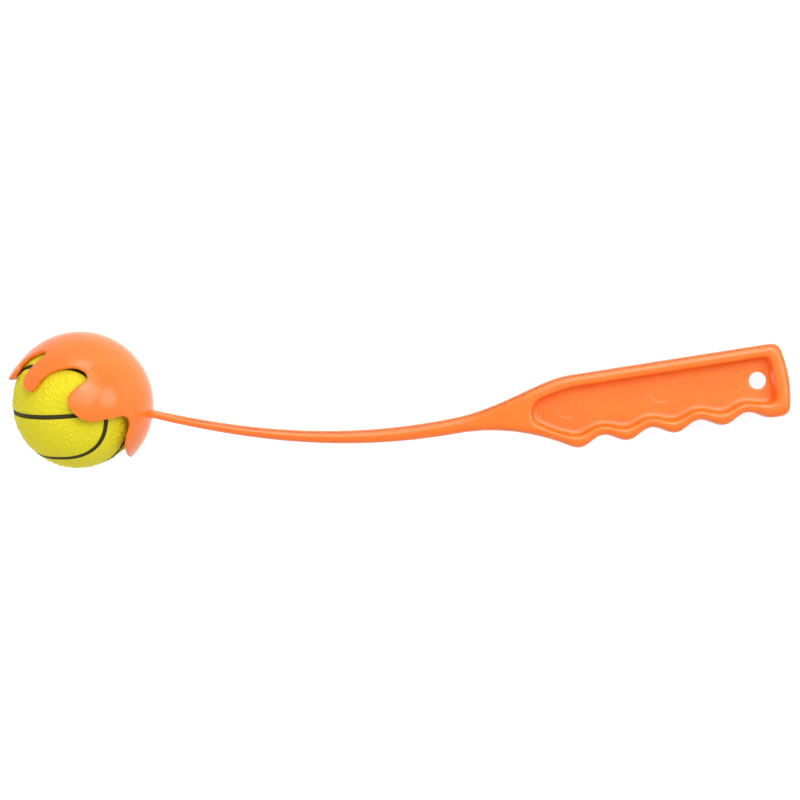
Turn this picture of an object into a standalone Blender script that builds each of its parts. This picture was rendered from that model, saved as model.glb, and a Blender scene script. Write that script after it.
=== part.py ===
"""Dog ball thrower: one springy moulding of handle, arm and fingered cup, with a ball in the cup.

The moulding is drawn in its own plane, with the cup's centre as origin, X along the arm towards
the handle, Y towards the handle's straight edge and Z across. An empty then lays it on its side,
so that the cup and the far end of the handle touch the floor.
"""
from math import atan2, ceil, cos, degrees, hypot, pi, radians, sin, sqrt, tan

import bmesh
import bpy
from mathutils import Euler, Matrix, Vector
from mathutils.geometry import delaunay_2d_cdt, interpolate_bezier

MM = 0.001

# Ball. The loops of its pattern are ovals, with one half angle each way, drawn out to four corners
BALL_RADIUS = 30.0 * MM
CHANNEL_WIDTH = 1.8 * MM
CHANNEL_DEPTH = 1.1 * MM
LINE_GAP = 0.3 * MM
LINE_SINK = 0.2 * MM
LOOP_HALF_ANGLES = (65.0, 48.2)
LOOP_CORNER_SHARE = 0.054
BALL_TURN_ANGLES = (110.3, 54.3, 22.8)
FACET_TURN_ANGLES = (17.0, 40.0, 6.0)

# Cup. Angles run from the middle of its mouth, and round it from the finger opposite the arm
BALL_PLAY = 1.7 * MM
SEAT_GAP = 0.3 * MM
BALL_LEAN_ANGLE = 66.0
CUP_WALL = 1.9 * MM
TIP_FLARE = 1.2 * MM
FLARE_FROM_ANGLE = 98.0
MOUTH_ANGLE = 237.2
RIM_HALF_ANGLES = (
    (0, 77), (9, 77.3), (15, 79), (18.1, 83.2), (19, 86.5), (17.6, 91), (18.1, 96),
    (20.2, 100.2), (23.3, 103.5), (27, 107.1), (30.4, 110.3), (33.7, 112.2), (36.9, 112.6),
    (39, 110.3), (38.6, 106), (37.8, 101), (37.3, 95), (38, 89), (38.9, 84.2), (41.7, 81),
    (45.5, 79.3), (49.6, 79), (53.2, 80.4), (54.4, 84.9), (54.5, 90), (55.5, 95.5),
    (59.4, 103.7), (65.3, 110.4), (71.4, 115), (76.8, 116.6), (81.8, 116.8), (85.4, 115),
    (86.6, 111.3), (84.9, 106.1), (82.9, 100), (82.4, 93.5), (85.4, 88), (90.8, 85), (99, 83.6),
    (108.5, 86.1), (116.2, 92.5), (123.2, 97.8), (128.7, 102), (134.7, 103.4), (140.4, 100.5),
    (142.8, 95.7), (144.3, 91.6), (147.2, 86.8), (151.9, 83.1), (158.1, 79.9), (168, 77.2),
    (180, 77.2),
)

# Arm. Heights lie in the drawing plane and depths across it
ARM_REACH = 170.1 * MM
ARM_ROOT_ANGLE = -6.8
ARM_ROOT_SLOPE_ANGLE = -13.2
ARM_END_TURN_ANGLE = 2.3
ARM_END_RISE = 2.0 * MM
ARM_PULL_SHARES = (0.37, 0.335)
ARM_SINK_SHARE = 0.6
ARM_ROOT_HEIGHT = 3.5 * MM
ARM_END_HEIGHT = 7.4 * MM
ARM_ROOT_DEPTH = 13.0 * MM
ARM_END_DEPTH = 13.5 * MM

# Neck and handle. The handle's own axis slopes, and passes below the cup's centre
HANDLE_SLOPE_ANGLE = 8.9
HANDLE_DROP = 37.8 * MM
HANDLE_HEIGHT = 33.6 * MM
HANDLE_DEPTH = 17.0 * MM
NECK_LENGTH = 52.5 * MM
NECK_TOP_SHARES = ((0.40, 0.14), (0.75, 1.0))
NECK_BOTTOM_SHARES = ((0.38, 0.0), (0.73, 0.42))
GRIP_PITCH = 22.15 * MM
GRIP_COUNT = 4
GRIP_RISE = 4.3 * MM
GRIP_LEAD_SHARE = 0.2
END_LENGTH = 10.2 * MM
END_RADIUS = 60.0 * MM
END_APEX_DROP = 0.5 * MM
TOP_CORNER = 4.2 * MM
BOTTOM_CORNER = 4.2 * MM
EDGE_RADIUS = 1.6 * MM
EDGE_ROOM_SHARE = 0.46
EDGE_STEPS = 3

# Pockets in both sides of the handle, with a web between them. Their walls lean in towards the web
TOP_RIM = 5.6 * MM
BOTTOM_RIM = 5.4 * MM
END_RIM = 6.6 * MM
POCKET_CORNER = 3.0 * MM
POCKET_RISE = 3.0 * MM
POCKET_END_RISE = 1.0 * MM
SIDE_LEAN = 0.8 * MM
END_LEAN = 2.1 * MM
END_LEAN_POWER = 8
NOSE_RIM = 33.0 * MM
NOSE_TOP_SHARES = ((0.0, 0.71), (0.15, 0.73))
NOSE_BOTTOM_SHARES = ((0.0, 0.31), (0.64, 0.79))
WEB = 2.6 * MM
HANG_HOLE_DIAMETER = 8.0 * MM
HANG_HOLE_RIM = 1.35 * MM
HANG_HOLE_RISE = 1.0 * MM

CUT_OVERRUN = 2.0 * MM
RIM_STEP = 2.2 * MM
WALL_STEP = 3.4 * MM
OUTLINE_STEP = 2.2 * MM
RING_STEPS = 60
CHART_MERGE_SHARE = 0.0001

CUP_INNER = BALL_RADIUS + BALL_PLAY
CUP_OUTER = CUP_INNER + CUP_WALL
NECK_END = ARM_REACH + NECK_LENGTH
LAST_CREST = NECK_END + GRIP_COUNT * GRIP_PITCH
HANDLE_END = LAST_CREST + END_LENGTH
HALF_HEIGHT = HANDLE_HEIGHT / 2
MOUTH = Vector((cos(radians(MOUTH_ANGLE)), sin(radians(MOUTH_ANGLE)), 0))
FIRST_FINGER = Vector((MOUTH.y, -MOUTH.x, 0))
ACROSS = Vector((0, 0, 1))


def clear_scene():
    for obj in list(bpy.data.objects):
        bpy.data.objects.remove(obj)


def material(name, colour, roughness):
    made = bpy.data.materials.new(name)
    made.use_nodes = True
    shader = made.node_tree.nodes["Principled BSDF"]
    shader.inputs["Base Color"].default_value = (*colour, 1)
    shader.inputs["Roughness"].default_value = roughness
    shader.inputs["Metallic"].default_value = 0
    made.diffuse_color = (*colour, 1)
    return made


def object_of(name, points, faces):
    """A closed mesh object, with its faces turned outwards."""
    mesh = bpy.data.meshes.new(name)
    mesh.from_pydata([tuple(point) for point in points], [], faces)
    shape = bmesh.new()
    shape.from_mesh(mesh)
    bmesh.ops.recalc_face_normals(shape, faces=shape.faces)
    shape.to_mesh(mesh)
    shape.free()
    obj = bpy.data.objects.new(name, mesh)
    bpy.context.scene.collection.objects.link(obj)
    return obj


def boolean(obj, other, operation):
    """Joins the other object to obj, or cuts it out, and removes it."""
    step = obj.modifiers.new(other.name, "BOOLEAN")
    step.operation = operation
    step.object = other
    step.solver = "EXACT"
    graph = bpy.context.evaluated_depsgraph_get()
    made = bpy.data.meshes.new_from_object(obj.evaluated_get(graph))
    obj.modifiers.remove(step)
    obj.data = made
    bpy.data.objects.remove(other)


def finish(obj, look):
    """Gives a finished solid its material, and smooth shading between its sharp edges."""
    obj.data.name = obj.name
    obj.data.materials.clear()
    obj.data.materials.append(look)
    obj.data.shade_smooth()
    obj.data.set_sharp_from_angle(angle=radians(35))


def line_through(start, end, step):
    """Points from start to end, both included, no further apart than step."""
    count = max(1, ceil((end - start).length / step))
    return [start.lerp(end, i / count) for i in range(count + 1)]


def curve(points, step):
    """Points on the cubic curve of four handles, no further apart than about step."""
    reach = sum((b - a).length for a, b in zip(points, points[1:]))
    return interpolate_bezier(*points, max(4, ceil(reach / step) + 1))


def arc(centre, radius, start, end, step):
    """Points on an arc round a centre, between two angles in radians."""
    count = max(3, ceil(abs(end - start) * radius / step))
    angles = [start + (end - start) * i / count for i in range(count + 1)]
    return [centre + radius * Vector((cos(a), sin(a))) for a in angles]


def joined(runs):
    """One closed outline from runs of points, without the points that two runs share."""
    points = []
    for run in runs:
        points += [p for p in run if not points or (p - points[-1]).length > OUTLINE_STEP / 10]
    if (points[0] - points[-1]).length < OUTLINE_STEP / 10:
        points.pop()
    return points


def to_drawing(point):
    """A point along and above the handle's axis, as a point in the drawing plane."""
    slope = radians(HANDLE_SLOPE_ANGLE)
    along, up = point[0], point[1] - HANDLE_DROP
    return Vector((along * cos(slope) - up * sin(slope), along * sin(slope) + up * cos(slope)))


def from_drawing(point):
    slope = radians(HANDLE_SLOPE_ANGLE)
    return Vector((
        point[0] * cos(slope) + point[1] * sin(slope),
        point[1] * cos(slope) - point[0] * sin(slope) + HANDLE_DROP,
    ))


def arm_edges():
    """The arm's upper and lower edge from the cup to the neck, along and above the handle's axis."""
    root_radius = CUP_INNER + ARM_SINK_SHARE * CUP_WALL
    root_angle = radians(ARM_ROOT_ANGLE)
    root = from_drawing(root_radius * Vector((cos(root_angle), sin(root_angle))))
    end = Vector((ARM_REACH, ARM_END_RISE))
    root_slope = radians(ARM_ROOT_SLOPE_ANGLE - HANDLE_SLOPE_ANGLE)
    end_slope = radians(ARM_END_TURN_ANGLE)
    chord = (end - root).length
    root_pull = chord * ARM_PULL_SHARES[0] * Vector((cos(root_slope), sin(root_slope)))
    end_pull = chord * ARM_PULL_SHARES[1] * Vector((cos(end_slope), sin(end_slope)))
    middle = curve([root, root + root_pull, end - end_pull, end], 2 * OUTLINE_STEP)
    upper, lower = [], []
    for i, point in enumerate(middle):
        before = middle[max(i - 1, 0)]
        after = middle[min(i + 1, len(middle) - 1)]
        run = (after - before).normalized()
        share = i / (len(middle) - 1)
        height = ARM_ROOT_HEIGHT + share * (ARM_END_HEIGHT - ARM_ROOT_HEIGHT)
        side = height / 2 * Vector((-run.y, run.x))
        upper.append(point + side)
        lower.append(point - side)
    return upper, lower


def wave(rise, rim):
    """The finger grips' wave, from the last crest back into the neck."""
    first = NECK_END - GRIP_LEAD_SHARE * GRIP_PITCH
    count = ceil((LAST_CREST - first) / OUTLINE_STEP)
    points = []
    for i in range(count + 1):
        along = LAST_CREST + (first - LAST_CREST) * i / count
        lift = rise / 2 * (1 - cos(2 * pi * (LAST_CREST - along) / GRIP_PITCH))
        points.append(Vector((along, rim - HALF_HEIGHT + lift)))
    return points


def between(start, end, shares):
    """The handles of a curve, whose two inner ones lie at shares of the way along and up."""
    inner = [Vector((start.x + a * (end.x - start.x), start.y + b * (end.y - start.y))) for a, b in shares]
    return [start, *inner, end]


def end_corner(bow, radius, edge):
    """The centre of a corner between the handle's long edge and its end, which is bowed round bow."""
    up = edge - radius if edge > 0 else edge + radius
    return Vector((bow.x + sqrt((END_RADIUS - radius) ** 2 - (up - bow.y) ** 2), up))


def moulding_outline():
    """The closed outline of arm, neck and handle, clockwise from the cup's wall."""
    upper, lower = arm_edges()
    top_start = Vector((NECK_END, HALF_HEIGHT))
    neck_top = curve(between(upper[-1], top_start, NECK_TOP_SHARES), OUTLINE_STEP)
    bow = Vector((HANDLE_END - END_RADIUS, -END_APEX_DROP))
    top_centre = end_corner(bow, TOP_CORNER, HALF_HEIGHT)
    low_centre = end_corner(bow, BOTTOM_CORNER, -HALF_HEIGHT)
    top_angle = atan2(top_centre.y - bow.y, top_centre.x - bow.x)
    low_angle = atan2(low_centre.y - bow.y, low_centre.x - bow.x)
    top_corner = arc(top_centre, TOP_CORNER, pi / 2, top_angle, OUTLINE_STEP / 2)
    bowed_end = arc(bow, END_RADIUS, top_angle, low_angle, OUTLINE_STEP)
    low_corner = arc(low_centre, BOTTOM_CORNER, low_angle, -pi / 2, OUTLINE_STEP / 2)
    grips = wave(GRIP_RISE, 0)
    neck_bottom = curve(between(lower[-1], grips[-1], NECK_BOTTOM_SHARES), OUTLINE_STEP)
    top_edge = line_through(neck_top[-1], top_corner[0], 4 * OUTLINE_STEP)
    runs = [upper, neck_top, top_edge, top_corner, bowed_end, low_corner, grips]
    return joined([*runs, neck_bottom[::-1], lower[::-1]])


def pocket_outline():
    """The closed outline of a pocket, which follows the handle's edges inside its rims."""
    top = HALF_HEIGHT - TOP_RIM
    low = BOTTOM_RIM + POCKET_END_RISE - HALF_HEIGHT
    end = HANDLE_END - END_RIM
    last_hollow = LAST_CREST - GRIP_PITCH / 2
    nose = Vector((ARM_REACH + NOSE_RIM, 0))
    nose_top = curve(between(nose, Vector((NECK_END, top)), NOSE_TOP_SHARES), OUTLINE_STEP)
    grips = wave(POCKET_RISE, BOTTOM_RIM)
    nose_low = curve(between(nose, grips[-1], NOSE_BOTTOM_SHARES), OUTLINE_STEP)
    top_centre = Vector((end - POCKET_CORNER, top - POCKET_CORNER))
    low_centre = Vector((end - POCKET_CORNER, low + POCKET_CORNER))
    top_corner = arc(top_centre, POCKET_CORNER, pi / 2, 0, OUTLINE_STEP / 2)
    low_corner = arc(low_centre, POCKET_CORNER, 0, -pi / 2, OUTLINE_STEP / 2)
    kept = [
        point for point in grips
        if point.x < last_hollow or point.y > low and point.x < low_centre.x
    ]
    return joined([nose_top, top_corner, low_corner, kept, nose_low[::-1]])


def leaning(point):
    """Where the pocket's wall meets the web, below a point of the pocket's outline."""
    reach = HANDLE_END - END_RIM - NECK_END
    share = max(point.x - NECK_END, 0) / reach
    back = END_LEAN * share ** END_LEAN_POWER
    inwards = SIDE_LEAN * 2 * point.y / HANDLE_HEIGHT
    return Vector((point.x - back, point.y - inwards))


def prism(name, layers):
    """A closed solid through outlines along and above the handle's axis, each at its own depth."""
    count = len(layers[0][0])
    points = [(*to_drawing(point), depth) for outline, depth in layers for point in outline]
    top = (len(layers) - 1) * count
    faces = [tuple(range(count)), tuple(range(top, top + count))]
    for low in range(0, top, count):
        for i in range(count):
            j = (i + 1) % count
            faces.append((low + i, low + j, low + count + j, low + count + i))
    return object_of(name, points, faces)


def round_edges(obj):
    """Rounds the edges where the solid's flat sides meet its outline."""
    shape = bmesh.new()
    shape.from_mesh(obj.data)
    flats = [face for face in shape.faces if abs(face.normal.z) > 0.5]
    edges = {edge for face in flats for edge in face.edges}
    radius = min(EDGE_RADIUS, EDGE_ROOM_SHARE * ARM_ROOT_HEIGHT)
    bmesh.ops.bevel(
        shape, geom=list(edges), offset=radius, segments=EDGE_STEPS, profile=0.5, affect="EDGES"
    )
    shape.to_mesh(obj.data)
    shape.free()


def depth_share(point):
    """How deep the moulding is at a point, as a share of the handle's depth."""
    along = from_drawing(point).x
    if along < ARM_REACH:
        depth = ARM_ROOT_DEPTH + (ARM_END_DEPTH - ARM_ROOT_DEPTH) * max(along, 0) / ARM_REACH
        return depth / HANDLE_DEPTH
    share = min((along - ARM_REACH) / NOSE_RIM, 1)
    grown = share * share * (3 - 2 * share)
    return (ARM_END_DEPTH + grown * (HANDLE_DEPTH - ARM_END_DEPTH)) / HANDLE_DEPTH


def thin_towards_arm(obj):
    """Draws the depth in from the handle's to the arm's."""
    shape = bmesh.new()
    shape.from_mesh(obj.data)
    bmesh.ops.triangulate(shape, faces=shape.faces)
    for vertex in shape.verts:
        vertex.co.z *= depth_share(vertex.co)
    shape.to_mesh(obj.data)
    shape.free()


def hang_hole():
    """The cutter of the round hole in the web, near the handle's end."""
    radius = HANG_HOLE_DIAMETER / 2
    web_end = HANDLE_END - END_RIM - END_LEAN
    centre = Vector((web_end - HANG_HOLE_RIM - radius, HANG_HOLE_RISE))
    outline = arc(centre, radius, 0, 2 * pi, OUTLINE_STEP / 2)[:-1]
    return prism("hang_hole_cut", [(outline, -WEB), (outline, WEB)])


def pocket(side):
    """The cutter of the pocket in one side of the handle, 1 or -1."""
    mouth = pocket_outline()
    web = [leaning(point) for point in mouth]
    half = HANDLE_DEPTH / 2
    layers = [(web, side * WEB / 2), (mouth, side * half), (mouth, side * (half + CUT_OVERRUN))]
    return prism("pocket_cut", layers)


def arm_and_handle():
    half = HANDLE_DEPTH / 2
    outline = moulding_outline()
    obj = prism("arm_and_handle", [(outline, -half), (outline, half)])
    round_edges(obj)
    for side in (-1, 1):
        boolean(obj, pocket(side), "DIFFERENCE")
    boolean(obj, hang_hole(), "DIFFERENCE")
    thin_towards_arm(obj)
    return obj


def cup_direction(polar, azimuth):
    """The direction at an angle from the mouth's middle and another round it, in radians."""
    ring = cos(azimuth) * FIRST_FINGER + sin(azimuth) * ACROSS
    return cos(polar) * MOUTH + sin(polar) * ring


def flare(polar, azimuth):
    """How far the wall bends outwards, most at the tip of the finger opposite the arm."""
    tip = min(angle for _, angle in RIM_HALF_ANGLES)
    share = (FLARE_FROM_ANGLE - degrees(polar)) / (FLARE_FROM_ANGLE - tip)
    share = min(max(share, 0), 1)
    return TIP_FLARE * share * share * (3 - 2 * share) * (1 + cos(azimuth)) / 2


def to_chart(polar, azimuth):
    """The wall laid flat from the middle of its back, which keeps small shapes as they are."""
    spread = 1 / tan(polar / 2)
    return Vector((spread * cos(azimuth), spread * sin(azimuth)))


def from_chart(point):
    return 2 * atan2(1, point.length), atan2(point.y, point.x)


def rim_on_chart():
    """The rim's closed outline on the chart, as a smooth curve through its named angles."""
    half = [(radians(polar), radians(azimuth)) for azimuth, polar in RIM_HALF_ANGLES]
    other = [(polar, -azimuth) for polar, azimuth in half[-2:0:-1]]
    knots = [to_chart(*pair) for pair in half + other]
    points = []
    for i, start in enumerate(knots):
        before, end, after = knots[i - 1], knots[(i + 1) % len(knots)], knots[(i + 2) % len(knots)]
        span = CUP_OUTER * (cup_direction(*from_chart(end)) - cup_direction(*from_chart(start))).length
        handles = [start, start + (end - before) / 6, end - (after - start) / 6, end]
        points += interpolate_bezier(*handles, ceil(span / RIM_STEP) + 1)[:-1]
    return points


def wall_points(rim):
    """Points spread evenly over the wall on the chart, clear of its rim."""
    rim_spots = [cup_direction(*from_chart(point)) for point in rim]
    points = [Vector((0, 0))]
    rings = ceil(pi * CUP_OUTER / WALL_STEP)
    for ring in range(1, rings):
        polar = pi - pi * ring / rings
        count = max(6, ceil(2 * pi * CUP_OUTER * sin(polar) / WALL_STEP))
        for i in range(count):
            point = to_chart(polar, 2 * pi * (i + ring % 2 / 2) / count)
            spot = cup_direction(*from_chart(point))
            gap = CUP_OUTER * min((spot - other).length for other in rim_spots)
            if gap > WALL_STEP / 2:
                points.append(point)
    return points


def cup():
    """The cup's wall between its inner and outer face, closed round the rim."""
    rim = rim_on_chart()
    count = len(rim)
    edges = [(i, (i + 1) % count) for i in range(count)]
    spots, _, faces, *_ = delaunay_2d_cdt(rim + wall_points(rim), edges, [], 1, CHART_MERGE_SHARE)
    angles = [from_chart(spot) for spot in spots]
    outer = [(CUP_OUTER + flare(*pair)) * cup_direction(*pair) for pair in angles]
    inner = [(CUP_INNER + flare(*pair)) * cup_direction(*pair) for pair in angles]
    size = len(spots)
    used = {(a, b) for face in faces for a, b in zip(face, [*face[1:], face[0]])}
    border = sorted((a, b) for a, b in used if (b, a) not in used)
    back = [tuple(size + i for i in reversed(face)) for face in faces]
    strip = [(b, a, size + a, size + b) for a, b in border]
    return object_of("cup", outer + inner, [tuple(face) for face in faces] + back + strip)


def thrower(parent, look):
    obj = arm_and_handle()
    boolean(obj, cup(), "UNION")
    obj.name = "thrower"
    obj.parent = parent
    finish(obj, look)
    return obj


def ball_paths():
    """Two rings and two loops, as directions from the ball's centre, which don't meet corner to corner."""
    turns = [2 * pi * (i + 1 / 3) / RING_STEPS for i in range(RING_STEPS)]
    wide, high = [radians(angle) for angle in LOOP_HALF_ANGLES]
    upright = [Vector((0, cos(t), sin(t))) for t in turns]
    level = [Vector((cos(t), sin(t), 0)) for t in turns]
    loops = []
    for side in (1, -1):
        opening = [
            (1 - LOOP_CORNER_SHARE * cos(4 * t)) / hypot(cos(t) / wide, sin(t) / high) for t in turns
        ]
        loops.append([
            Vector((side * cos(o), sin(o) * cos(t), sin(o) * sin(t))) for o, t in zip(opening, turns)
        ])
    return [upright, level, *loops]


def band(name, path, low, high, width):
    """A closed band over a path of directions, between two radii."""
    count = len(path)
    points = []
    for i, direction in enumerate(path):
        run = path[(i + 1) % count] - path[i - 1]
        side = width / 2 * direction.cross(run).normalized()
        points += [low * direction - side, low * direction + side]
        points += [high * direction + side, high * direction - side]
    faces = []
    for i in range(count):
        here, there = 4 * i, 4 * ((i + 1) % count)
        for j in range(4):
            k = (j + 1) % 4
            faces.append((here + j, here + k, there + k, there + j))
    return object_of(name, points, faces)


def ball(parent, look):
    """The solid ball, with a channel along each path and its facets turned clear of the paths."""
    shape = bmesh.new()
    turn = Euler([radians(angle) for angle in FACET_TURN_ANGLES]).to_matrix().to_4x4()
    bmesh.ops.create_icosphere(shape, subdivisions=4, radius=BALL_RADIUS, matrix=turn)
    mesh = bpy.data.meshes.new("ball")
    shape.to_mesh(mesh)
    shape.free()
    obj = bpy.data.objects.new("ball", mesh)
    bpy.context.scene.collection.objects.link(obj)
    floor = BALL_RADIUS - CHANNEL_DEPTH
    for path in ball_paths():
        cut = band("channel_cut", path, floor, BALL_RADIUS + CUT_OVERRUN, CHANNEL_WIDTH)
        boolean(obj, cut, "DIFFERENCE")
    obj.parent = parent
    finish(obj, look)
    return obj


def ball_lines(parent, look):
    """The black filling of the ball's channels, all in one piece."""
    low = BALL_RADIUS - CHANNEL_DEPTH + LINE_GAP
    high = BALL_RADIUS - LINE_SINK
    width = CHANNEL_WIDTH - 2 * LINE_GAP
    rings = [band("ball_lines", path, low, high, width) for path in ball_paths()]
    obj = rings[0]
    for other in rings[1:]:
        boolean(obj, other, "UNION")
    obj.parent = parent
    finish(obj, look)
    return obj


def empty(name, parent=None):
    obj = bpy.data.objects.new(name, None)
    obj.empty_display_size = BALL_RADIUS
    bpy.context.scene.collection.objects.link(obj)
    obj.parent = parent
    return obj


def seat(pivot):
    """Places the ball's centre, so that the ball leans on the cup's wall."""
    angle = radians(MOUTH_ANGLE + 180 + BALL_LEAN_ANGLE)
    pivot.location = (BALL_PLAY - SEAT_GAP) * Vector((cos(angle), sin(angle), 0))
    pivot.rotation_euler = Euler([radians(angle) for angle in BALL_TURN_ANGLES])


def resting_tilt(points):
    """The turn about Y at which the cup and the handle's end are equally low."""
    near = [point for point in points if point.x < CUP_OUTER]
    far = [point for point in points if point.x > CUP_OUTER]
    low, high = 0.0, pi / 4
    for _ in range(40):
        tilt = (low + high) / 2
        turn = Matrix.Rotation(tilt, 3, "Y")
        if min((turn @ point).z for point in far) > min((turn @ point).z for point in near):
            low = tilt
        else:
            high = tilt
    return low


def lay_down(frame, body, solids):
    """Lays the object on its side, with its box's bottom centre at the world's origin."""
    tilt = resting_tilt([vertex.co for vertex in body.data.vertices])
    frame.rotation_euler = (0, tilt, 0)
    bpy.context.view_layer.update()
    points = [obj.matrix_world @ vertex.co for obj in solids for vertex in obj.data.vertices]
    low = Vector([min(point[i] for point in points) for i in range(3)])
    high = Vector([max(point[i] for point in points) for i in range(3)])
    frame.location = -Vector(((low.x + high.x) / 2, (low.y + high.y) / 2, low.z))
    bpy.context.view_layer.update()


def main():
    clear_scene()
    orange = material("orange_plastic", (0.98, 0.27, 0.06), 0.42)
    yellow = material("yellow_rubber", (0.78, 0.68, 0.04), 0.6)
    black = material("black_filling", (0.02, 0.019, 0.012), 0.55)
    frame = empty("laid_on_side")
    pivot = empty("ball_pivot", frame)
    seat(pivot)
    body = thrower(frame, orange)
    solids = [body, ball(pivot, yellow), ball_lines(pivot, black)]
    lay_down(frame, body, solids)


main()
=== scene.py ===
"""Looks of the dog ball thrower: a finer skin for the moulding, a pebbled ball and its filled lines.

The object is drawn in its own plane, as in the part's source: the cup's centre is the origin, X runs
along the arm, Y towards the handle's straight edge and Z across. In the frame it lies tilted.
"""
from math import ceil, cos, pi, radians, sin

import bmesh
import bpy
import numpy as np
from mathutils import Euler, Matrix, Vector
from mathutils.kdtree import KDTree


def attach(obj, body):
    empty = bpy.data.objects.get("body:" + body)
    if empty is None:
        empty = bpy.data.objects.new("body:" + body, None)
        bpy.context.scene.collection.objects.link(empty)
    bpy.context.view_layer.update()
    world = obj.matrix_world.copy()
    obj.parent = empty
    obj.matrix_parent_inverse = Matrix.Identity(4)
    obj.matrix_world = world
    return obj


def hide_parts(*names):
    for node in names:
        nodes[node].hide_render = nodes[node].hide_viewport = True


MM = 0.001

# Drawing plane, in the frame
CUP_CENTRE = Vector((-0.14549, -0.00242, 0.03373))
TILT = 0.07838
TO_FRAME = Matrix.Translation(CUP_CENTRE) @ Matrix.Rotation(TILT, 4, "Y")
MOUTH_ANGLE = radians(237.2)

# Handle, along and above its own axis
HANDLE_SLOPE = radians(8.9)
HANDLE_DROP = 37.8 * MM
ARM_REACH = 170.1 * MM
NECK_END = ARM_REACH + 52.5 * MM
HANDLE_END = NECK_END + 4 * 22.15 * MM + 10.2 * MM
HOLE = (HANDLE_END - 14.05 * MM, 1.0 * MM)
HOLE_RADIUS = 4.0 * MM

# Moulding's skin, smoothed in rounds: few on the cup and round the hole, many on the handle
SKIN_VOXEL = 0.42 * MM
WELD = 0.001 * MM
ROUND_SHARE = 0.5
CUP_ROUNDS = 3
HANDLE_ROUNDS = 36
HOLE_ROUNDS = 5
ROUNDS_RISE = (0.25 * ARM_REACH, 0.45 * ARM_REACH)
HOLE_COLLAR = (1.2 * MM, 2.6 * MM)

# Crowned edges and a painted dark reflection line along the upper one, by the distance from the
# outline
OUTLINE_FROM = 0.2 * ARM_REACH
HOLE_CLEARANCE = 2 * MM
UPPER_SIDE = (0.5, 0.87)
CROWN_RISE = (0.22 * ARM_REACH, 0.27 * ARM_REACH)
CROWN_HEIGHTS = (2 * MM, 5 * MM)
EDGE_REACH = 3.6 * MM
EDGE_DROP = 0.9 * MM
REFLECTION_LINE_DEPTH = 0.95 * MM
REFLECTION_LINE_HALF = 0.6 * MM

# Round marks of the ejector pins, on the pocket's web
WEB_HEIGHT = 2 * MM
EJECTOR_MARKS = ((219.7 * MM, 2.0 * MM), (262.6 * MM, 2.7 * MM))
EJECTOR_RADIUS = 4.5 * MM
EJECTOR_SOFTNESS = 0.3 * MM
EJECTOR_DROP = 0.11 * MM

# Ball
BALL_RADIUS = 30.0 * MM
BALL_LEAN = radians(66.0)
BALL_OFFSET = 1.4 * MM
BALL_TURN = Euler([radians(angle) for angle in (110.3, 54.3, 22.8)])
LOOP_ANGLES = (radians(65.0), radians(48.2))
LOOP_CORNER_SHARE = 0.054

# Channels, by the distance from the paths of the pattern
CHANNEL_HALF = 0.97 * MM
CHANNEL_FOOT = 0.68 * MM
CHANNEL_DEPTH = 1.1 * MM
SHOULDER = 0.5 * MM
SHOULDER_DROP = 0.12 * MM
SNAP_REACH = 0.15 * MM
SNAP_ROUNDS = 3
SLOPE_STEP = 0.001
GRADIENT_STEP = 1e-5
LEAST_SINE = 0.1
LEAST_SIZE = 1e-12

# Pebbles
PEBBLE_PITCH = 1.8 * MM
PEBBLE_RISE = 0.5 * MM
PEBBLE_SHARE = 0.41
PEBBLE_SINK_SHARE = 0.7
PEBBLE_JITTER_SHARE = 0.24
PEBBLE_HEIGHT_SHARES = (0.2, 1.0)
PEBBLE_POWER = 1.5
PEBBLE_MARGINS = (0.2 * MM, 0.9 * MM)
# painted shade: the share of a darker, greener yellow between the pebbles
HOLLOW_SHADE_SHARE = 0.55
CELL_SHARE = 0.866
GOLDEN_TURN = pi * (1 + 5 ** 0.5)
JITTER_SEED = 7
HEIGHT_SEED = 11

# Black filling
LINE_STEPS = 240
LINE_PHASE_SHARE = 1 / 3
LINE_HALF = 1.0 * MM
LINE_TOP = 0.28 * MM
LINE_LOW = 1.0 * MM
LINE_DIP = 0.1 * MM
LINE_SIDE_DIP = 0.08 * MM
LINE_SHARP_ANGLE = radians(40)

# Colours
ORANGES = ((0.99, 0.195, 0.013), (1.0, 0.207, 0.017))
# painted dark reflection: the brown of the line along the upper edge
REFLECTION_BROWN = (0.22, 0.05, 0.01)
YELLOWS = ((0.80, 0.695, 0.010), (0.86, 0.74, 0.018))
# painted shade: the darker yellow between the pebbles
SHADED_HOLLOW_YELLOW = (0.70, 0.63, 0.006)
BLACKS = ((0.030, 0.026, 0.003), (0.052, 0.046, 0.008))
FLOOR_GREYS = ((0.85, 0.85, 0.85), (0.22, 0.22, 0.22))

# Sockets of Blender's Mix node for colours
MIX_FIRST, MIX_SECOND, MIX_RESULT = 6, 7, 2

# Camera, above a point of the drawing plane
CAMERA_SPOT = Vector((146.2 * MM, 2.28 * MM, 0))
CAMERA_DISTANCE = 2.0
CAMERA_WIDTH = 0.3653
CAMERA_NEAR = 0.1
SENSOR = 36.0

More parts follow.
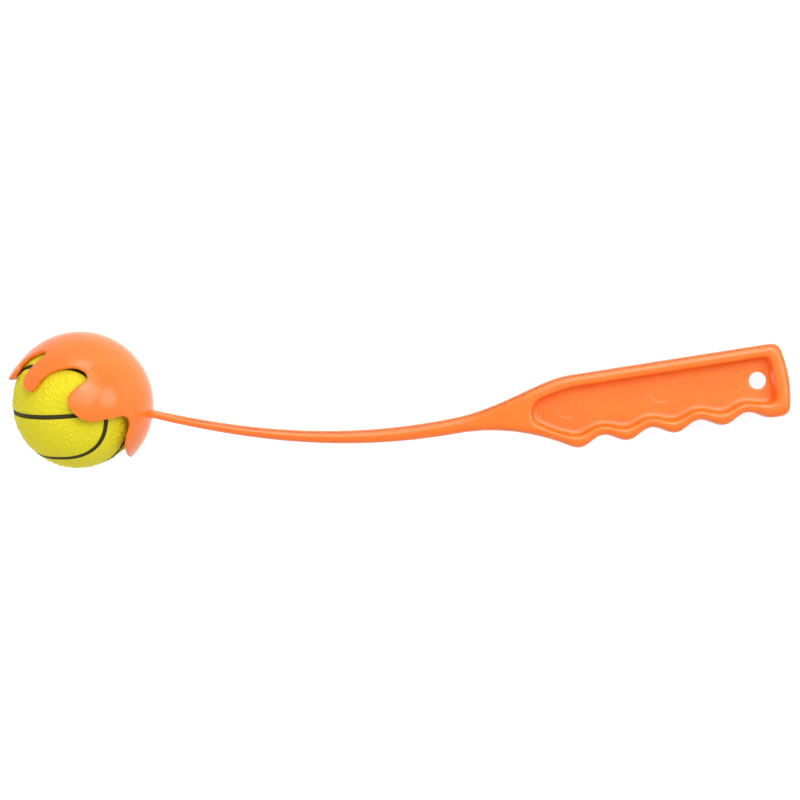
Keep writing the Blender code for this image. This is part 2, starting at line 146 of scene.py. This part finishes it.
# Floor, world and lamps: name, direction, distance, size, power, target and spread in degrees
FLOOR_HALF = 3.0
FLOOR_GLOW = 0.9
WORLD_LIGHT = 0.40
ARM_SPOT = (120 * MM, 0, 0)
CUP_SPOT = (0, 0, 0)
BALL_SPOT = (-5 * MM, -8 * MM, 0)
GRIP_SPOT = (255 * MM, 8 * MM, 0)
LAMPS = (
    ("box_above", (0.2, 0.4, 1.0), 2.6, (1.6, 1.4), 23.5, ARM_SPOT, 180),
    ("rim_up", (0.15, 1.0, 0.16), 1.3, (1.6, 0.3), 0.9, ARM_SPOT, 180),
    ("rim_right", (1.0, 0.25, 0.16), 1.3, (1.2, 0.3), 1.0, ARM_SPOT, 180),
    ("box_up", (0.07, 0.912, 0.404), 1.2, (0.55, 0.3), 2.1, CUP_SPOT, 180),
    ("box_right", (0.742, 0.197, 0.641), 1.2, (0.5, 0.5), 3.2, CUP_SPOT, 180),
    ("ball_fill", (-0.62, -0.5, 0.6), 0.9, (0.4, 0.4), 0.3, BALL_SPOT, 60),
    ("grip_up", (0.1, 0.6, 0.8), 0.8, (0.8, 0.5), 0.42, GRIP_SPOT, 60),
)


def node(tree, kind, **values):
    made = tree.nodes.new(kind)
    for name, value in values.items():
        setattr(made, name, value)
    return made


def link(tree, start, end):
    tree.links.new(start, end)


def new_material(name):
    made = bpy.data.materials.new(name)
    made.use_nodes = True
    return made, made.node_tree, made.node_tree.nodes["Principled BSDF"]


def set_values(made, values):
    """Constant values on the node's own sockets."""
    for name, value in values.items():
        made.inputs[name].default_value = value


def object_coords(tree):
    return node(tree, "ShaderNodeTexCoord").outputs["Object"]


def attribute(tree, name):
    return node(tree, "ShaderNodeAttribute", attribute_name=name).outputs["Fac"]


def noise(tree, coords, scale, detail, roughness=0.5):
    made = node(tree, "ShaderNodeTexNoise")
    set_values(made, {"Scale": scale, "Detail": detail, "Roughness": roughness})
    link(tree, coords, made.inputs["Vector"])
    return made.outputs["Fac"]


def ramp(tree, value, colours, positions=(0.30, 0.70)):
    """A blend of two colours."""
    made = node(tree, "ShaderNodeValToRGB")
    for element, position, colour in zip(made.color_ramp.elements, positions, colours):
        element.position = position
        element.color = (*colour, 1)
    link(tree, value, made.inputs["Fac"])
    return made.outputs["Color"]


def ranged(tree, value, low, high, start=0.3, end=0.7):
    made = node(tree, "ShaderNodeMapRange")
    set_values(made, {"From Min": start, "From Max": end, "To Min": low, "To Max": high})
    link(tree, value, made.inputs["Value"])
    return made.outputs["Result"]


def combined(tree, operation, first, second):
    made = node(tree, "ShaderNodeMath", operation=operation)
    link(tree, first, made.inputs[0])
    link(tree, second, made.inputs[1])
    return made.outputs[0]


def mixed(tree, share, tone, other):
    """A tone that gives way to another colour by a share."""
    made = node(tree, "ShaderNodeMix", data_type="RGBA")
    link(tree, share, made.inputs["Factor"])
    link(tree, tone, made.inputs[MIX_FIRST])
    made.inputs[MIX_SECOND].default_value = (*other, 1)
    return made.outputs[MIX_RESULT]


def bump(tree, height, distance, strength, under=None):
    made = node(tree, "ShaderNodeBump")
    set_values(made, {"Distance": distance, "Strength": strength})
    link(tree, height, made.inputs["Height"])
    if under is not None:
        link(tree, under, made.inputs["Normal"])
    return made.outputs["Normal"]


def orange_plastic():
    """Satin moulded plastic with a fine spark-eroded grain, faint clouding and a painted dark
    reflection line along the upper edge.
    """
    made, tree, shader = new_material("orange_plastic")
    coords = object_coords(tree)
    tone = ramp(tree, noise(tree, coords, scale=55.0, detail=3.0), ORANGES)
    # painted dark reflection: a broken brown line along the upper edge, by the line's share
    broken = ranged(tree, noise(tree, coords, scale=700.0, detail=2.0), low=0.4, high=1.0)
    share = combined(tree, "MULTIPLY", attribute(tree, "dark_reflection_line"), broken)
    link(tree, mixed(tree, share, tone, REFLECTION_BROWN), shader.inputs["Base Color"])
    grain = noise(tree, coords, scale=2600.0, detail=2.0)
    wear = noise(tree, coords, scale=210.0, detail=4.0, roughness=0.6)
    link(tree, ranged(tree, wear, low=0.19, high=0.25), shader.inputs["Roughness"])
    waves = bump(tree, wear, distance=0.03 * MM, strength=0.3)
    normal = bump(tree, grain, distance=0.012 * MM, strength=0.5, under=waves)
    link(tree, normal, shader.inputs["Normal"])
    set_values(shader, {
        "IOR": 1.45,
        "Sheen Weight": 0.05,
        "Sheen Roughness": 0.2,
        "Subsurface Weight": 0.5,
        "Subsurface Radius": (1.0, 0.25, 0.08),
        "Subsurface Scale": 4.0 * MM,
    })
    return made


def yellow_rubber():
    """Matte rubber skin, with painted shade between its pebbles, which makes it a little deeper and
    greener there.
    """
    made, tree, shader = new_material("yellow_rubber")
    coords = object_coords(tree)
    clouds = noise(tree, coords, scale=60.0, detail=4.0, roughness=0.6)
    tone = ramp(tree, clouds, YELLOWS)
    # painted shade between the pebbles, by the hollow's share
    colour = mixed(tree, attribute(tree, "hollow"), tone, SHADED_HOLLOW_YELLOW)
    link(tree, colour, shader.inputs["Base Color"])
    link(tree, ranged(tree, clouds, low=0.55, high=0.66), shader.inputs["Roughness"])
    grain = noise(tree, coords, scale=2200.0, detail=3.0)
    link(tree, bump(tree, grain, distance=0.02 * MM, strength=0.5), shader.inputs["Normal"])
    set_values(shader, {"IOR": 1.36})
    return made


def black_filling():
    """Matte black filling with a fine grain and greyer worn spots."""
    made, tree, shader = new_material("black_filling")
    coords = object_coords(tree)
    worn = noise(tree, coords, scale=420.0, detail=4.0, roughness=0.65)
    link(tree, ramp(tree, worn, BLACKS, (0.35, 0.75)), shader.inputs["Base Color"])
    link(tree, ranged(tree, worn, low=0.5, high=0.7), shader.inputs["Roughness"])
    grain = noise(tree, coords, scale=2400.0, detail=3.0)
    link(tree, bump(tree, grain, distance=0.03 * MM, strength=0.6), shader.inputs["Normal"])
    set_values(shader, {"IOR": 1.25})
    return made


def placed(name, data):
    obj = bpy.data.objects.new(name, data)
    bpy.context.scene.collection.objects.link(obj)
    return obj


def mesh_of(name, points, faces):
    mesh = bpy.data.meshes.new(name)
    mesh.from_pydata([tuple(point) for point in points], [], faces)
    return placed(name, mesh)


def evaluated_mesh(obj):
    """The object's mesh with its modifiers applied."""
    graph = bpy.context.evaluated_depsgraph_get()
    return bpy.data.meshes.new_from_object(obj.evaluated_get(graph))


def points_of(mesh):
    flat = np.empty(3 * len(mesh.vertices))
    mesh.vertices.foreach_get("co", flat)
    return flat.reshape(-1, 3)


def set_points(mesh, points):
    mesh.vertices.foreach_set("co", points.ravel())
    mesh.update()


def add_attribute(mesh, name, values):
    made = mesh.attributes.new(name, "FLOAT", "POINT")
    made.data.foreach_set("value", values.astype(np.float32))


def unit(vectors):
    return vectors / np.linalg.norm(vectors, axis=1)[:, None]


def step(low, high, value):
    """A smooth rise from 0 to 1 between two values, or a fall if the first is the higher."""
    share = np.clip((value - low) / (high - low), 0, 1)
    return share * share * (3 - 2 * share)


def tree_of(points):
    tree = KDTree(len(points))
    for i, point in enumerate(points):
        tree.insert(point, i)
    tree.balance()
    return tree


def neighbours_of(mesh):
    """Both ends of every edge, both ways round, and each vertex's number of edges."""
    flat = np.empty(2 * len(mesh.edges), dtype=np.int64)
    mesh.edges.foreach_get("vertices", flat)
    pairs = flat.reshape(-1, 2)
    starts = np.concatenate([pairs[:, 0], pairs[:, 1]])
    ends = np.concatenate([pairs[:, 1], pairs[:, 0]])
    return starts, ends, np.bincount(starts, minlength=len(mesh.vertices))


def smoothed(mesh, points, rounds):
    """Points drawn towards their neighbours, each for its own number of rounds."""
    starts, ends, counts = neighbours_of(mesh)
    for done in range(int(rounds.max())):
        sums = [np.bincount(starts, points[ends, k], len(points)) for k in range(3)]
        share = np.clip(rounds - done, 0, 1)[:, None] * ROUND_SHARE
        points = points + share * (np.stack(sums, 1) / counts[:, None] - points)
    return points


def handle_place(points):
    """Along and above the handle's own axis, for points of the drawing."""
    x, y = points[:, 0], points[:, 1]
    along = x * cos(HANDLE_SLOPE) + y * sin(HANDLE_SLOPE)
    return along, y * cos(HANDLE_SLOPE) - x * sin(HANDLE_SLOPE) + HANDLE_DROP


def outline_gaps(points):
    """How far each point lies inside the outline, and whether its upper side is the nearer."""
    along, up = handle_place(points)
    off_hole = np.hypot(along - HOLE[0], up - HOLE[1]) > HOLE_RADIUS + HOLE_CLEARANCE
    middle = np.abs(points[:, 2]) < SKIN_VOXEL
    rim = points[middle & off_hole & (along > OUTLINE_FROM)]
    tree = tree_of([(x, y, 0) for x, y, _ in rim])
    found = [tree.find((x, y, 0)) for x, y, _ in points]
    towards = rim[[spot[1] for spot in found]][:, :2] - points[:, :2]
    return np.array([spot[2] for spot in found]), towards @ UPPER_SIDE > 0


def shaped(points):
    """The arm and the handle with crowned edges and ejector marks, and the share of the painted dark
    reflection line along the upper edge.
    """
    along, up = handle_place(points)
    gaps, upper = outline_gaps(points)
    height = np.abs(points[:, 2])
    outer = step(*CROWN_RISE, along) * step(*CROWN_HEIGHTS, height)
    drop = EDGE_DROP * np.clip(1 - gaps / EDGE_REACH, 0, 1) ** 2 * outer
    for mark in EJECTOR_MARKS:
        reach = np.hypot(along - mark[0], up - mark[1])
        inside = step(EJECTOR_RADIUS + EJECTOR_SOFTNESS, EJECTOR_RADIUS, reach)
        drop += EJECTOR_DROP * (height < WEB_HEIGHT) * inside
    points[:, 2] -= np.sign(points[:, 2]) * drop
    # painted dark reflection: a line a little inside the outline, on the upper side only
    dark_reflection_line = np.clip(1 - np.abs(gaps - REFLECTION_LINE_DEPTH) / REFLECTION_LINE_HALF, 0, 1) * outer * upper
    return points, dark_reflection_line


def thrower_skin(cad, look):
    """One continuous skin over the moulding, with rounded edges and fillets at its joins."""
    mesh = cad.data.copy()
    mesh.transform(TO_FRAME.inverted())
    shape = bmesh.new()
    shape.from_mesh(mesh)
    bmesh.ops.remove_doubles(shape, verts=shape.verts, dist=WELD)
    shape.to_mesh(mesh)
    shape.free()
    obj = placed("thrower_skin", mesh)
    remesh = obj.modifiers.new("skin", "REMESH")
    remesh.mode = "VOXEL"
    remesh.voxel_size = SKIN_VOXEL
    obj.data = evaluated_mesh(obj)
    obj.modifiers.clear()
    points = points_of(obj.data)
    along, up = handle_place(points)
    rounds = CUP_ROUNDS + (HANDLE_ROUNDS - CUP_ROUNDS) * step(*ROUNDS_RISE, along)
    off_hole = np.hypot(along - HOLE[0], up - HOLE[1]) - HOLE_RADIUS
    rounds = np.minimum(rounds, HOLE_ROUNDS + HANDLE_ROUNDS * step(*HOLE_COLLAR, off_hole))
    points, dark_reflection_line = shaped(smoothed(obj.data, points, rounds))
    set_points(obj.data, points)
    add_attribute(obj.data, "dark_reflection_line", dark_reflection_line)
    obj.data.transform(TO_FRAME)
    obj.data.materials.clear()
    obj.data.materials.append(look)
    obj.data.shade_smooth()
    return obj


def ball_frame():
    """From the ball's own axes to the frame."""
    angle = MOUTH_ANGLE + pi + BALL_LEAN
    centre = BALL_OFFSET * Vector((cos(angle), sin(angle), 0))
    return TO_FRAME @ Matrix.Translation(centre) @ BALL_TURN.to_matrix().to_4x4()


def loop_opening(turn):
    """The side loops' angle from the ball's X axis, round that axis."""
    wide, high = LOOP_ANGLES
    corners = 1 - LOOP_CORNER_SHARE * np.cos(4 * turn)
    return corners / np.hypot(np.cos(turn) / wide, np.sin(turn) / high)


def path_distances(directions):
    """How far each direction lies from each of the four paths, over the ball, with a sign."""
    x, y, z = directions.T
    turn = np.arctan2(z, y)
    opening = loop_opening(turn)
    rise = loop_opening(turn + SLOPE_STEP) - loop_opening(turn - SLOPE_STEP)
    slope = rise / (2 * SLOPE_STEP)
    rows = [np.arcsin(np.clip(x, -1, 1)), np.arcsin(np.clip(z, -1, 1))]
    for side in (1, -1):
        polar = np.arccos(np.clip(side * x, -1, 1))
        stretch = np.sqrt(1 + (slope / np.maximum(np.sin(polar), LEAST_SINE)) ** 2)
        rows.append((polar - opening) / stretch)
    return BALL_RADIUS * np.stack(rows)


def nearest_path(directions):
    return np.abs(path_distances(directions)).min(axis=0)


def snapped(directions, edge):
    """Directions near a line at a distance from the paths, moved onto it, so that it runs clean."""
    for _ in range(SNAP_ROUNDS):
        distance = nearest_path(directions)
        near = np.abs(distance - edge) < SNAP_REACH
        if not near.any():
            break
        spots = directions[near]
        gradient = np.empty_like(spots)
        for k in range(3):
            offset = np.zeros(3)
            offset[k] = GRADIENT_STEP
            rise = nearest_path(unit(spots + offset)) - nearest_path(unit(spots - offset))
            gradient[:, k] = rise / (2 * GRADIENT_STEP)
        gradient -= (gradient * spots).sum(1)[:, None] * spots
        size = np.maximum((gradient ** 2).sum(1), LEAST_SIZE)
        shift = ((edge - distance[near]) / size)[:, None] * gradient
        directions[near] = unit(spots + shift)
    return directions


def pebble_centres():
    """Directions spread over the ball, a pebble's pitch apart and a little out of line."""
    count = ceil(4 * pi * BALL_RADIUS ** 2 / (CELL_SHARE * PEBBLE_PITCH ** 2))
    index = np.arange(count) + 0.5
    height = 1 - 2 * index / count
    turn = GOLDEN_TURN * index
    flat = np.sqrt(1 - height ** 2)
    spots = np.stack([flat * np.cos(turn), flat * np.sin(turn), height], 1)
    spread = PEBBLE_JITTER_SHARE * PEBBLE_PITCH / BALL_RADIUS
    return unit(spots + np.random.default_rng(JITTER_SEED).normal(0, spread, spots.shape))


def pebble_domes(directions):
    """Each direction's share of a pebble's full rise, on pebbles of random height."""
    centres = pebble_centres()
    tree = tree_of(centres)
    found = [tree.find(direction) for direction in directions]
    gaps = np.array([spot[2] for spot in found]) * BALL_RADIUS
    heights = np.random.default_rng(HEIGHT_SEED).uniform(*PEBBLE_HEIGHT_SHARES, len(centres))
    dome = np.clip(1 - (gaps / (PEBBLE_SHARE * PEBBLE_PITCH)) ** 2, 0, 1) ** PEBBLE_POWER
    return dome * heights[[spot[1] for spot in found]]


def pebbled_ball(look):
    """The ball's skin with real pebbles, and a channel with rounded shoulders along each path."""
    shape = bmesh.new()
    bmesh.ops.create_icosphere(shape, subdivisions=8, radius=1.0)
    mesh = bpy.data.meshes.new("ball_skin")
    shape.to_mesh(mesh)
    shape.free()
    directions = unit(points_of(mesh))
    for edge in (CHANNEL_HALF, CHANNEL_FOOT):
        directions = snapped(directions, edge)
    distance = nearest_path(directions)
    wall = step(CHANNEL_HALF - CHANNEL_FOOT, 0, distance - CHANNEL_FOOT)
    shoulder = 1 - np.clip((distance - CHANNEL_HALF) / SHOULDER, 0, 1)
    dome = pebble_domes(directions)
    low, high = PEBBLE_MARGINS
    skin = step(CHANNEL_HALF + low, CHANNEL_HALF + high, distance)
    radius = BALL_RADIUS - PEBBLE_RISE * PEBBLE_SINK_SHARE + PEBBLE_RISE * dome * skin
    radius -= SHOULDER_DROP * shoulder ** 2 + CHANNEL_DEPTH * wall
    set_points(mesh, directions * radius[:, None])
    # painted shade: a share of darker yellow for the hollows between the pebbles
    add_attribute(mesh, "hollow", (1 - dome) * skin * HOLLOW_SHADE_SHARE)
    mesh.transform(ball_frame())
    mesh.materials.append(look)
    mesh.shade_smooth()
    return placed("ball_skin", mesh)


def line_paths():
    """Two great circles and two side loops, as closed rows of directions."""
    turns = np.array([2 * pi * (i + LINE_PHASE_SHARE) / LINE_STEPS for i in range(LINE_STEPS)])
    across, up = np.cos(turns), np.sin(turns)
    zero = np.zeros(LINE_STEPS)
    paths = [np.stack([zero, across, up], 1), np.stack([across, up, zero], 1)]
    opening = loop_opening(turns)
    for side in (1, -1):
        rows = [side * np.cos(opening), np.sin(opening) * across, np.sin(opening) * up]
        paths.append(np.stack(rows, 1))
    return paths


def line_band(path):
    """A closed band over a path of directions, a little hollow across its top."""
    count = len(path)
    side_top = LINE_TOP + LINE_SIDE_DIP
    ring = [(-1, LINE_LOW), (1, LINE_LOW), (1, LINE_TOP), (0.5, side_top)]
    ring += [(0, LINE_TOP + LINE_DIP), (-0.5, side_top), (-1, LINE_TOP)]
    points = []
    for i, direction in enumerate(path):
        side = np.cross(direction, path[(i + 1) % count] - path[i - 1])
        side *= LINE_HALF / np.linalg.norm(side)
        points += [(BALL_RADIUS - depth) * direction + across * side for across, depth in ring]
    size = len(ring)
    faces = []
    for i in range(count):
        here, there = size * i, size * ((i + 1) % count)
        for j in range(size):
            after = (j + 1) % size
            faces.append((here + j, here + after, there + after, there + j))
    obj = mesh_of("ball_lines_skin", points, faces)
    shape = bmesh.new()
    shape.from_mesh(obj.data)
    bmesh.ops.recalc_face_normals(shape, faces=shape.faces)
    shape.to_mesh(obj.data)
    shape.free()
    return obj


def filled_lines(look):
    """The channels' black filling, all in one piece."""
    first, *others = [line_band(path) for path in line_paths()]
    for other in others:
        join = first.modifiers.new("join", "BOOLEAN")
        join.operation = "UNION"
        join.solver = "EXACT"
        join.object = other
        made = evaluated_mesh(first)
        first.modifiers.clear()
        first.data = made
        bpy.data.objects.remove(other)
    first.name = "ball_lines_skin"
    first.data.transform(ball_frame())
    first.data.materials.clear()
    first.data.materials.append(look)
    first.data.shade_smooth()
    first.data.set_sharp_from_angle(angle=LINE_SHARP_ANGLE)
    return first


def seen_plainly(tree):
    """1 for rays from the camera and off or through glossy things, which see plain white."""
    path = node(tree, "ShaderNodeLightPath").outputs
    seen = combined(tree, "MAXIMUM", path["Is Camera Ray"], path["Is Glossy Ray"])
    return combined(tree, "MAXIMUM", seen, path["Is Transmission Ray"])


def white_floor():
    """A pale floor, which stays white to the camera and keeps the object's shadow."""
    half = FLOOR_HALF
    corners = [(-half, -half, 0), (half, -half, 0), (half, half, 0), (-half, half, 0)]
    floor = mesh_of("floor", corners, [(0, 1, 2, 3)])
    made, tree, shader = new_material("floor_white")
    set_values(shader, {"Roughness": 0.9, "Emission Color": (1, 1, 1, 1)})
    seen = seen_plainly(tree)
    glow = ranged(tree, seen, low=0.0, high=FLOOR_GLOW, start=0.0, end=1.0)
    link(tree, glow, shader.inputs["Emission Strength"])
    link(tree, ramp(tree, seen, FLOOR_GREYS, (0.0, 1.0)), shader.inputs["Base Color"])
    floor.data.materials.append(made)


def daylight():
    """An even white world, white where the camera sees it."""
    world = bpy.data.worlds.new("studio")
    world.use_nodes = True
    bpy.context.scene.world = world
    tree = world.node_tree
    background = tree.nodes["Background"]
    set_values(background, {"Color": (1, 1, 1, 1)})
    strength = ranged(tree, seen_plainly(tree), low=WORLD_LIGHT, high=1.0, start=0.0, end=1.0)
    link(tree, strength, background.inputs["Strength"])


def lamp(name, direction, distance, size, power, target, spread):
    """A soft box in a direction of the drawing, turned towards its target."""
    data = bpy.data.lights.new(name, "AREA")
    data.shape = "RECTANGLE"
    data.size, data.size_y = size
    data.energy = power
    data.spread = radians(spread)
    aim = Vector(direction).normalized()
    spot = Vector(target) + distance * aim
    turn = aim.to_track_quat("Z", "Y").to_matrix().to_4x4()
    placed(name, data).matrix_world = TO_FRAME @ Matrix.Translation(spot) @ turn


def camera():
    data = bpy.data.cameras.new("camera")
    data.sensor_width = SENSOR
    data.lens = SENSOR * CAMERA_DISTANCE / CAMERA_WIDTH
    data.clip_start = CAMERA_NEAR
    obj = placed("camera", data)
    spot = CAMERA_SPOT + Vector((0, 0, CAMERA_DISTANCE))
    obj.matrix_world = TO_FRAME @ Matrix.Translation(spot)
    bpy.context.scene.camera = obj


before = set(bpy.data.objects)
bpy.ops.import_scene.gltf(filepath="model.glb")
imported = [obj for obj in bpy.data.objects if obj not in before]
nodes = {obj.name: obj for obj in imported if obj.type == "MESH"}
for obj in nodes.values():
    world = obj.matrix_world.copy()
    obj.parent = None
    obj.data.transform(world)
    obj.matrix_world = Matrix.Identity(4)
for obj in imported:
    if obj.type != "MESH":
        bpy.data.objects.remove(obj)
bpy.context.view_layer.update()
bpy.context.scene.view_settings.view_transform = "Standard"
camera()
daylight()
for values in LAMPS:
    lamp(*values)
white_floor()
thrower = thrower_skin(nodes["thrower"], orange_plastic())
ball = pebbled_ball(yellow_rubber())
lines = filled_lines(black_filling())
for piece, body, stood_for, material_slot in (
    (thrower, "thrower", "thrower", "orange_plastic"),
    (ball, "ball", "ball", "yellow_rubber"),
    (lines, "ball", "ball_lines", "black_filling"),
):
    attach(piece, body)
    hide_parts(stood_for)
bpy.context.view_layer.update()
